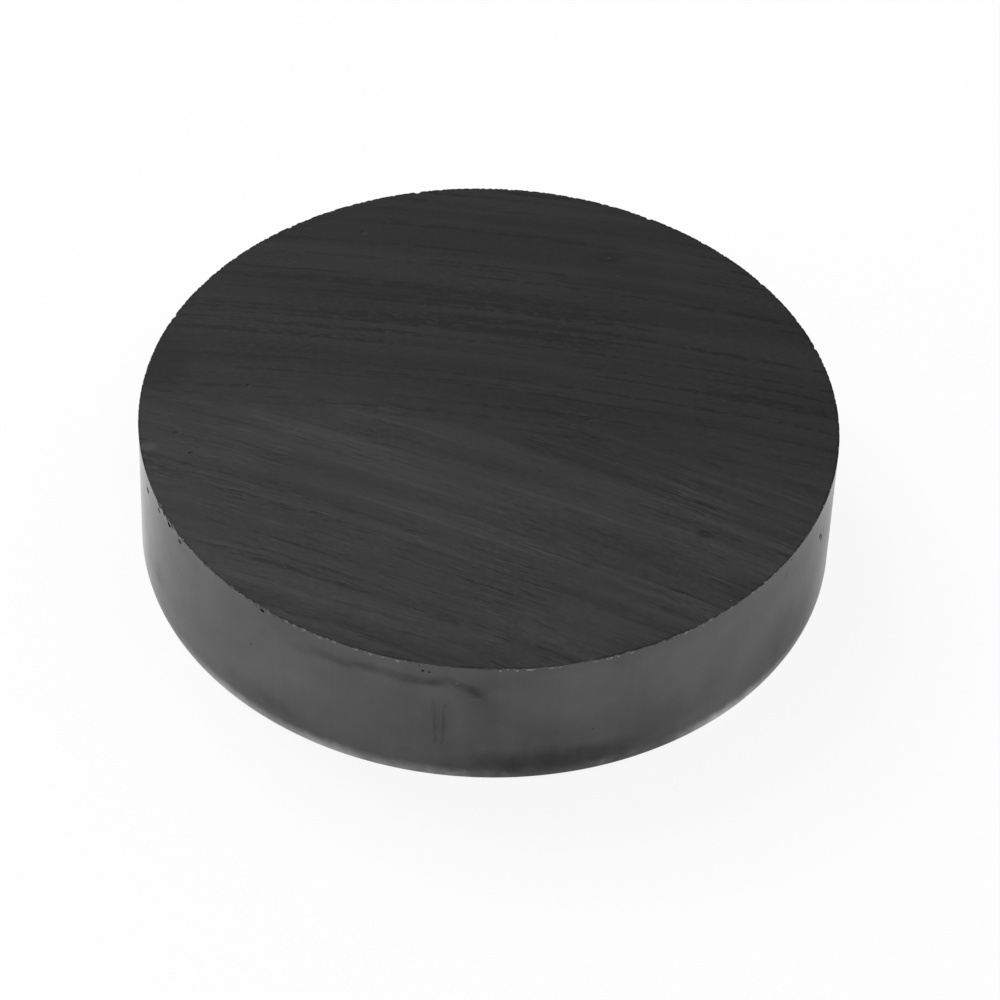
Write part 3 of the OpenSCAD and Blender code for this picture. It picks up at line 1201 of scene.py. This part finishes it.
# %% Tones and sizes of the side
SIDE_TONE = 0.42
LARGE_CLOUDS_TONE = 0.55
LARGE_CLOUDS_SCALE = 0.16
LARGE_CLOUDS_DISTORTION = 0.5
SMALL_CLOUDS_TONE = 0.24
SMALL_CLOUDS_SCALE = 0.6
SMALL_CLOUDS_DETAIL = 3
SMALL_CLOUDS_RELIEF = 2
HAIRLINES_TONE = 0.1
HAIRLINES_SCALE = 2
HAIRLINES_STRETCH = (1.2, 1.2, 0.06)
SIDE_GRAIN = 0.15
SIDE_GRAIN_TONE = 0.12
SIDE_GRAIN_RELIEF = 0.7
SIDE_FULL_TONE = 1.2
SIDE_DARK = grey(0.004)
SIDE_LIGHT = grey(0.12)
SIDE_ROUGHNESS = (0.35, 0.12)
SHEEN_TONE = 0.42
SIDE_IOR = 1.26
SIDE_BUMP = 0.0008 * MM


def way_round(azimuth):
    return math.radians(azimuth) * disc_r / MM


def unrolled(azimuth, drop):
    return (way_round(azimuth), drop, 0)


# %% Stains and painted light on the side: azimuth, drop, half-width, half-height, how much darker (below 0: paler)
PATCH_RAGGEDNESS = 0.35
# Real stains and painted light in one list: (-79, 8.6) paints the reflection of the disc's shadow low on
# the front, (-164.5, 7), (-155, 5) and (-22, 5) darken the ends where the side reflects shaded floor, and
# the thin ones near -96 paint shade in the draw marks.
SIDE_STAINS_AND_PAINTED_LIGHT = [
    (-79, 8.6, 9, 1.7, 0.4), (-72, 7, 9, 3.5, 0.12), (-126.5, 2.2, 0.9, 0.8, 0.1),
    (-124, 8, 2.2, 0.9, 0.15), (-134, 7.8, 1, 0.8, 0.1), (-101, 8, 1.1, 0.5, 0.12),
    (-155, 5, 8, 12, 0.18), (-164.5, 7, 6.5, 6.5, 0.42), (-22, 5, 6, 12, 0.1),
    (-46, 3.5, 7, 7, -0.22), (-50, 8.6, 4, 1.6, -0.15), (-24, 8, 5, 3.5, 0.2),
    (-34, 6.5, 1.8, 3.2, 0.12), (-86.5, 5, 7.5, 9, 0.16), (-89, 4, 2, 5.5, 0.16),
    (-90.8, 2.3, 1.1, 1, 0.08), (-118.5, 1.85, 1.8, 0.5, 0.14), (-97, 1.6, 0.8, 0.5, 0.15),
    (-96.7, 5, 0.2, 2.4, 0.12), (-96.1, 5, 0.12, 2, 0.06), (-95.3, 5.1, 0.2, 2.3, 0.12),
    (-90.6, 2.76, 0.6, 0.1, -0.25), (-93.4, 1.45, 0.4, 0.4, 0.12), (-93.4, 1.42, 0.2, 0.2, -0.4),
    (-90.6, 1.95, 1.5, 0.9, 0.08), (-101, 1.6, 2, 0.8, 0.04), (-108, 1.3, 1, 0.4, 0.1),
    (-169, 0, 0.7, 0.3, 0.15), (-129, 8, 4.5, 1.8, 0.12), (-29, 7.5, 6, 4.5, 0.25),
    (-32.7, 1.4, 0.2, 0.6, 0.3), (-49.5, 6.3, 2, 3.2, 0.1), (-156.4, 6.7, 1.5, 1.4, 0.2),
    (-119, 4.2, 7, 5.5, -0.12), (-66, 3.2, 8, 5, -0.16), (-137, 2.5, 4, 3, -0.08),
    (60, 6, 6, 4, 0.15), (128, 3, 7, 3, -0.15), (165, 7.5, 5, 2, 0.15),
]

# %% Clouds, hairlines, grain and stains of the side
tree = finishes[SIDE].node_tree
place = place_in_mm(tree)
parts = add(tree, "SeparateXYZ", {0: place}).outputs
arc = calculate(tree, "MULTIPLY", calculate(tree, "ARCTAN2", parts["Y"], parts["X"]), disc_r / MM)
drop = calculate(tree, "SUBTRACT", disc_h / MM, parts["Z"])
on_side = add(tree, "CombineXYZ", {"X": arc, "Y": drop}).outputs[0]

large_clouds = noise(tree, place, LARGE_CLOUDS_SCALE, distortion=LARGE_CLOUDS_DISTORTION)
small_clouds = noise(tree, place, SMALL_CLOUDS_SCALE, SMALL_CLOUDS_DETAIL, ROUGH_NOISE)
stretched = add(tree, "Mapping", {"Vector": place, "Scale": HAIRLINES_STRETCH}).outputs[0]
hairlines = noise(tree, stretched, HAIRLINES_SCALE)
grain = sintered_grain(tree, place, SIDE_GRAIN)
tone = weighted_sum(
    tree,
    SIDE_TONE,
    [
        (large_clouds, LARGE_CLOUDS_TONE),
        (small_clouds, SMALL_CLOUDS_TONE),
        (hairlines, HAIRLINES_TONE),
        (grain, SIDE_GRAIN_TONE),
    ],
)
# Each patch shifts the tone, as a real stain or as painted shade and reflection.
for azimuth, patch_drop, half_width, half_height, darkness in SIDE_STAINS_AND_PAINTED_LIGHT:
    centre = unrolled(azimuth, patch_drop)
    side_patch = soft_patch(tree, on_side, centre, (half_width, half_height, 1), Raggedness=PATCH_RAGGEDNESS)
    tone = calculate(tree, "MULTIPLY_ADD", side_patch, -darkness, tone)
print(f"{len(SIDE_STAINS_AND_PAINTED_LIGHT)} stains on the side")

# %% Painted shade along the press line, by the same formula as its shape
LINE_SHADE = 0.26
LINE_CORE = 0.1
LINE_HALF_WIDTH = 0.6
LINE_RAGGEDNESS = 0.6
LINE_RAG_SCALE = 0.9
LINE_BEGIN_FADE = 2
LINE_END_FADE = 0.5
line_turns = calculate(tree, "MULTIPLY", arc, math.tau / way_round(PRESS_LINE_WAVE))
line_phase = math.tau * PRESS_LINE_LOW_POINT / PRESS_LINE_WAVE
line_swing = calculate(tree, "COSINE", calculate(tree, "SUBTRACT", line_turns, line_phase))
past_bend = calculate(tree, "SUBTRACT", arc, way_round(PRESS_LINE_BEND))
sink_per_mm = PRESS_LINE_SINK / way_round(1)
line_sunk = calculate(tree, "MULTIPLY", calculate(tree, "MAXIMUM", past_bend, 0), sink_per_mm)
line_drop = weighted_sum(tree, PRESS_LINE_DROP, [(line_swing, PRESS_LINE_WANDER), (line_sunk, 1)])
line_rag = noise_round_zero(tree, on_side, LINE_RAG_SCALE)
off_line = calculate(tree, "SUBTRACT", drop, line_drop)
off_line = calculate(tree, "ABSOLUTE", calculate(tree, "MULTIPLY_ADD", line_rag, LINE_RAGGEDNESS, off_line))
on_line = rescale(tree, off_line, LINE_CORE, LINE_HALF_WIDTH, 1, 0)
line_from = way_round(PRESS_LINE_FROM)
line_to = way_round(PRESS_LINE_TO)
begins = rescale(tree, arc, line_from, line_from + LINE_BEGIN_FADE, 0, 1)
ends = rescale(tree, arc, line_to - LINE_END_FADE, line_to + LINE_END_FADE, 1, 0)
on_line = calculate(tree, "MULTIPLY", on_line, calculate(tree, "MULTIPLY", begins, ends))
# The band darkens the tone as painted shade in the crease.
tone = calculate(tree, "MULTIPLY_ADD", on_line, -LINE_SHADE, tone)
print(f"the press line is tinted over {line_to - line_from:.1f} mm")

# %% Patches of the painted highlight on the lower edge: azimuth, half-width in mm, share taken away (below 0: stronger)
FOOT_HIGHLIGHT_GREY = grey(0.6)
FOOT_REACH = 1.2
FOOT_FRAY = 0.6
FOOT_BREAKUP_SIZE = 4
FOOT_BREAKUP = 0.35
FOOT_PATCH_HEIGHT = 6
FOOT_PATCHES = [
    (-78, 12, 0.9), (-102.5, 4, 0.35), (-62, 4.5, 0.75), (-48, 4, -0.5), (-19, 7, 0.6),
    (-160, 10, 0.9), (48, 9, 0.7), (85, 5, -0.3), (117, 6, 0.6), (160, 5, 0.5),
]
foot_edge = {
    "Place": place,
    "Edge Radius": disc_r / MM,
    "Edge Height": 0,
    "Reach": FOOT_REACH,
    "Breakup Size": FOOT_BREAKUP_SIZE,
    "Breakup": FOOT_BREAKUP,
    "Fray": FOOT_FRAY,
}
foot_highlight = effect(tree, edge_band_group, foot_edge, "Wear")
for azimuth, half_width, share_taken in FOOT_PATCHES:
    centre = unrolled(azimuth, disc_h / MM)
    held_back = soft_patch(tree, on_side, centre, (half_width, FOOT_PATCH_HEIGHT, 1))
    kept = calculate(tree, "MULTIPLY_ADD", held_back, -share_taken, 1)
    foot_highlight = calculate(tree, "MULTIPLY", foot_highlight, kept)
print(f"{len(FOOT_PATCHES)} patches along the lower edge")

# %% Colour, sheen and relief of the side
colour = blend_colours(tree, calculate(tree, "DIVIDE", tone, SIDE_FULL_TONE), SIDE_DARK, SIDE_LIGHT)
# The pale band on the rounded lower edge is a painted highlight.
colour = blend_colours(tree, foot_highlight, colour, FOOT_HIGHLIGHT_GREY)
roughness = rescale(tree, tone, 0, SHEEN_TONE, *SIDE_ROUGHNESS, "LINEAR")
height = weighted_sum(tree, 0, [(small_clouds, SMALL_CLOUDS_RELIEF), (grain, SIDE_GRAIN_RELIEF)])
connect_shader(finishes[SIDE], colour, roughness, height, SIDE_BUMP, SIDE_IOR)

# %% [markdown]
# ## Finish: raw fracture
#
# Inside a chip the ceramic is freshly broken. Its crystals face every way, so it glitters: a
# little paler, glossier, and with a much stronger bump at the size of the grains.

# %% Fracture material
FRACTURE_GRAIN = 0.13
FRACTURE_DARK = grey(0.01)
FRACTURE_LIGHT = grey(0.16)
FRACTURE_ROUGHNESS = (0.45, 0.25)
FRACTURE_BUMP = 0.02 * MM
FRACTURE_IOR = 1.8
tree = finishes[FRACTURE].node_tree
grain = sintered_grain(tree, place_in_mm(tree), FRACTURE_GRAIN)
crystals = rescale(tree, grain, NOISE_LOW, NOISE_HIGH, 0, 1)
colour = blend_colours(tree, crystals, FRACTURE_DARK, FRACTURE_LIGHT)
roughness = rescale(tree, crystals, 0, 1, *FRACTURE_ROUGHNESS)
connect_shader(finishes[FRACTURE], colour, roughness, grain, FRACTURE_BUMP, FRACTURE_IOR)

# %% [markdown]
# ## Finish: open pores, also used as painted shade
#
# Inside a pore the light bounces from wall to wall and is lost. The hollow itself does most of
# that, so its finish is only a dark grey without a sheen. The same dark grey paints shade on the
# lips of the nicks and in the small hollow by the flake.

# %% Pore and painted shade material
PORE_GREY = grey(0.034)
PORE_ROUGHNESS = 0.8
PORE_IOR = 1.3
shader = finishes[PORE_AND_SHADE].node_tree.nodes["Principled BSDF"]
shader.inputs["Base Color"].default_value = PORE_GREY
shader.inputs["Roughness"].default_value = PORE_ROUGHNESS
shader.inputs["IOR"].default_value = PORE_IOR
print(f"{finishes[PORE_AND_SHADE].name} finished")

# %% [markdown]
# ## Floor and light
#
# A plain pale floor and soft light let the finishes speak. The floor looks almost white to the
# camera: Light Path's camera and transmission rays see it mixed with a plain white glow, and the
# rest of the mix is the lit floor, which keeps the disc's shadow. Glossy rays see less of the glow,
# so the disc's own shadow shows in the sheen of its side too.

# %% Floor
FLOOR_SIZE = 200 * disc_r
FLOOR_GREY = grey(0.85)
FLOOR_ROUGHNESS = 0.9
WHITE = grey(1)
SEEN_GLOW = 0.88
MIRRORED_GLOW = 0.15
bpy.ops.object.select_all(action="DESELECT")
bpy.ops.mesh.primitive_plane_add(size=FLOOR_SIZE, location=(0, 0, -HAIR))
floor = bpy.context.object
floor.name = "floor"
bpy.ops.object.transform_apply(location=True)

floor_paint = bpy.data.materials.new("pale_floor")
floor_paint.use_nodes = True
tree = floor_paint.node_tree
shader = tree.nodes["Principled BSDF"]
shader.inputs["Base Color"].default_value = FLOOR_GREY
shader.inputs["Roughness"].default_value = FLOOR_ROUGHNESS
shader.inputs["Specular IOR Level"].default_value = 0
light_path = add(tree, "LightPath").outputs
seen = calculate(tree, "MAXIMUM", light_path["Is Camera Ray"], light_path["Is Transmission Ray"])
seen = calculate(tree, "MULTIPLY", seen, SEEN_GLOW)
mirrored = calculate(tree, "MULTIPLY", light_path["Is Glossy Ray"], MIRRORED_GLOW)
glow = add(tree, "Emission", {"Color": WHITE, "Strength": 1})
glow_share = calculate(tree, "MAXIMUM", seen, mirrored)
mixed = add(tree, "MixShader", {"Fac": glow_share, 1: shader.outputs[0], 2: glow.outputs[0]})
tree.links.new(mixed.outputs[0], tree.nodes["Material Output"].inputs["Surface"])
floor.data.materials.append(floor_paint)
print(f"floor {FLOOR_SIZE:.1f} m across")

# %% World and soft boxes
WORLD_LEVEL = 0.5
world = bpy.data.worlds.new("studio")
bpy.context.scene.world = world
world.use_nodes = True
background = world.node_tree.nodes["Background"]
background.inputs["Color"].default_value = WHITE
background.inputs["Strength"].default_value = WORLD_LEVEL


def soft_box(name, place, size, watts):
    light = bpy.data.lights.new(name, "AREA")
    light.shape = "SQUARE"
    light.size = size
    light.energy = watts
    box = bpy.data.objects.new(name, light)
    box.location = place
    box.rotation_mode = "QUATERNION"
    box.rotation_quaternion = (face_centre - box.location).to_track_quat("-Z", "Y")
    bpy.context.scene.collection.objects.link(box)


soft_box("back_left_box", place=(-0.22, 0.25, 0.38), size=0.25, watts=1.6)
soft_box("front_fill", place=(0.05, -0.35, 0.45), size=0.15, watts=0.6)
bpy.context.scene.view_settings.view_transform = "Standard"
print(f"world level {WORLD_LEVEL}, {len(bpy.data.lights)} soft boxes")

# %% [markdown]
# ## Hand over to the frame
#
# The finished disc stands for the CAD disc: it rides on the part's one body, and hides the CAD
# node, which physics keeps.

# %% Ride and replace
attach(disc, "root")
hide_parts("disc_magnet")
